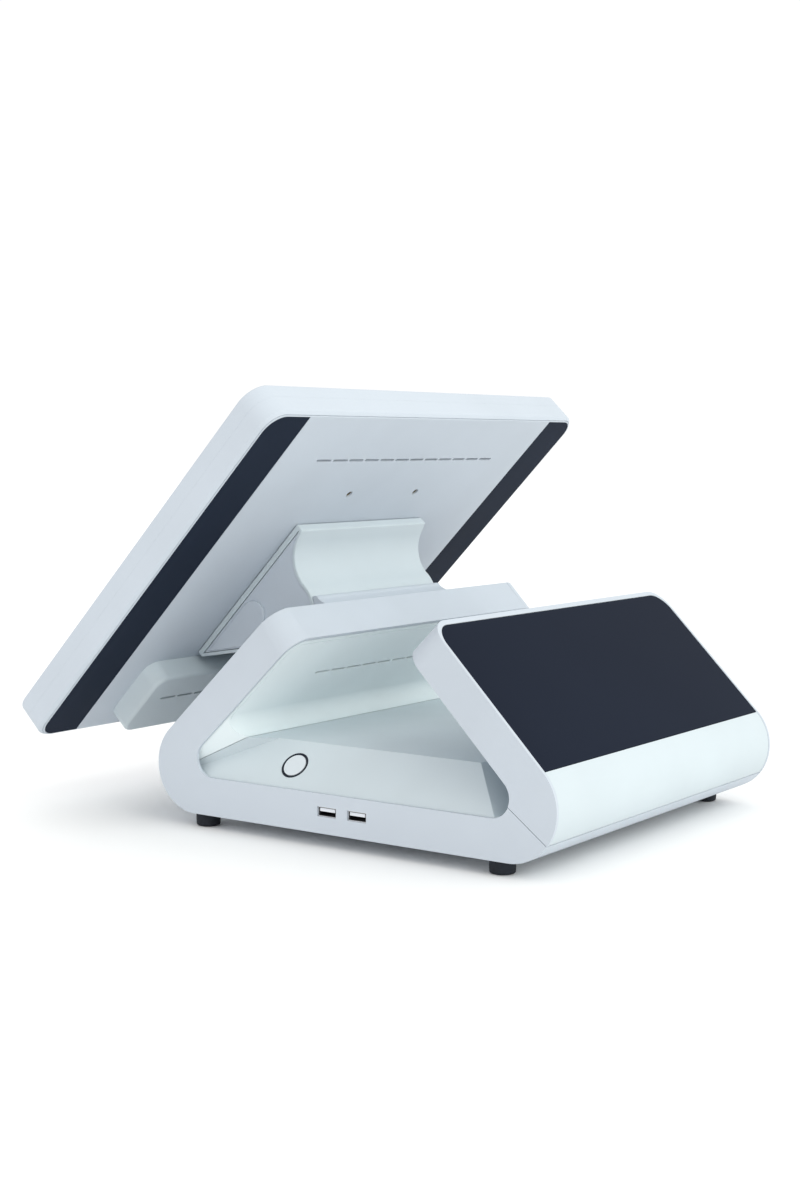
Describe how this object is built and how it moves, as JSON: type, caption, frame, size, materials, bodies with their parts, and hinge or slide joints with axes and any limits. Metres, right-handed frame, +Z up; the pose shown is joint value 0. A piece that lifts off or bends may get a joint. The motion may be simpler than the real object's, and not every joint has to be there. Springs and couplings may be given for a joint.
{
  "type": "pos touchscreen terminal",
  "caption": "Countertop point of sale terminal: folded V stand with an electronics base, a tilting touchscreen head, a rear customer display, USB sockets and a power button.",
  "frame": {"origin": "on the surface the feet stand on, midway between the two bends where the stand arms leave the base, on the middle plane", "axes": "+X to the side with the USB sockets and the power button (left of the cashier), +Y towards the customer, +Z up"},
  "size_m": [0.3496, 0.3914, 0.276],
  "materials": {
    "white_shell": "satin fine texture",
    "white_cover": "satin",
    "white_cap": "semi gloss",
    "dark_ring": "satin",
    "dark_glass": "polished, dark backed",
    "dark_strip": "semi gloss",
    "foot_rubber": "matte",
    "panel_module": "satin",
    "module_frame": "brushed",
    "chassis_steel": "zinc plated sheet",
    "bracket_steel": "zinc plated",
    "shaft_steel": "ground",
    "screw_steel": "blackened",
    "board_green": "solder mask",
    "chip_black": "matte",
    "sink_aluminium": "extruded",
    "drive_case": "bead blasted",
    "socket_metal": "stamped",
    "tongue_white": "moulded",
    "socket_black": "moulded",
    "insert_brass": "knurled"
  },
  "bodies": {
    "base": {"base_housing": "white_shell", "base_top_cover": "white_cover", "arm_inner_panel": "white_cover", "customer_arm_housing": "white_shell", "customer_arm_skirt": "white_cover", "customer_glass": "dark_glass", "customer_lcd_panel": "panel_module", "customer_display_board": "board_green", "steel_chassis": "chassis_steel", "mainboard": "board_green", "board_standoffs": "insert_brass", "board_screws": "screw_steel", "heat_sink": "sink_aluminium", "processor": "chip_black", "ssd_drive": "drive_case", "ssd_bracket": "bracket_steel", "speaker": "socket_black", "usb_socket_1": "socket_metal", "usb_tongue_1": "tongue_white", "usb_socket_2": "socket_metal", "usb_tongue_2": "tongue_white", "power_button_ring": "dark_ring", "power_switch": "socket_black", "switch_board": "board_green", "switch_posts": "white_cover", "rubber_feet": "foot_rubber", "base_screws": "screw_steel", "hinge_saddle": "white_shell", "hinge_base_bracket": "bracket_steel", "hinge_shaft": "shaft_steel", "friction_washers": "bracket_steel", "hinge_nuts": "bracket_steel", "hinge_bracket_screws": "screw_steel"},
    "power_button": {"power_button_cap": "white_cap"},
    "head": {"hinge_head_cover": "white_cover", "hinge_side_panel_right": "white_shell", "hinge_side_cap_right": "white_shell", "hinge_side_panel_left": "white_shell", "hinge_side_cap_left": "white_shell", "hinge_swing_bracket": "bracket_steel", "swing_bracket_screws": "screw_steel", "display_rear_cover": "white_shell", "side_strip_right": "dark_strip", "side_strip_left": "dark_strip", "display_front_frame": "white_shell", "touch_glass": "dark_glass", "lcd_panel": "panel_module", "lcd_chassis": "module_frame", "vesa_inserts": "insert_brass", "touch_controller_board": "board_green", "connector_box": "white_cover", "connector_board": "board_green", "dc_inlet": "socket_black", "lan_socket": "socket_metal"}
  },
  "joints": [
    {"name": "head_tilt", "type": "hinge", "parent": "base", "child": "head", "pos_m": [0, -0.09786, 0.13332], "axis": [1, 0, 0], "range_deg": [-20, 8]},
    {"name": "power_button_press", "type": "slide", "parent": "base", "child": "power_button", "axis": [-0.7178, 0, -0.6963], "range_m": [0, 0.001], "stiffness_N_per_m": 2000}
  ]
}
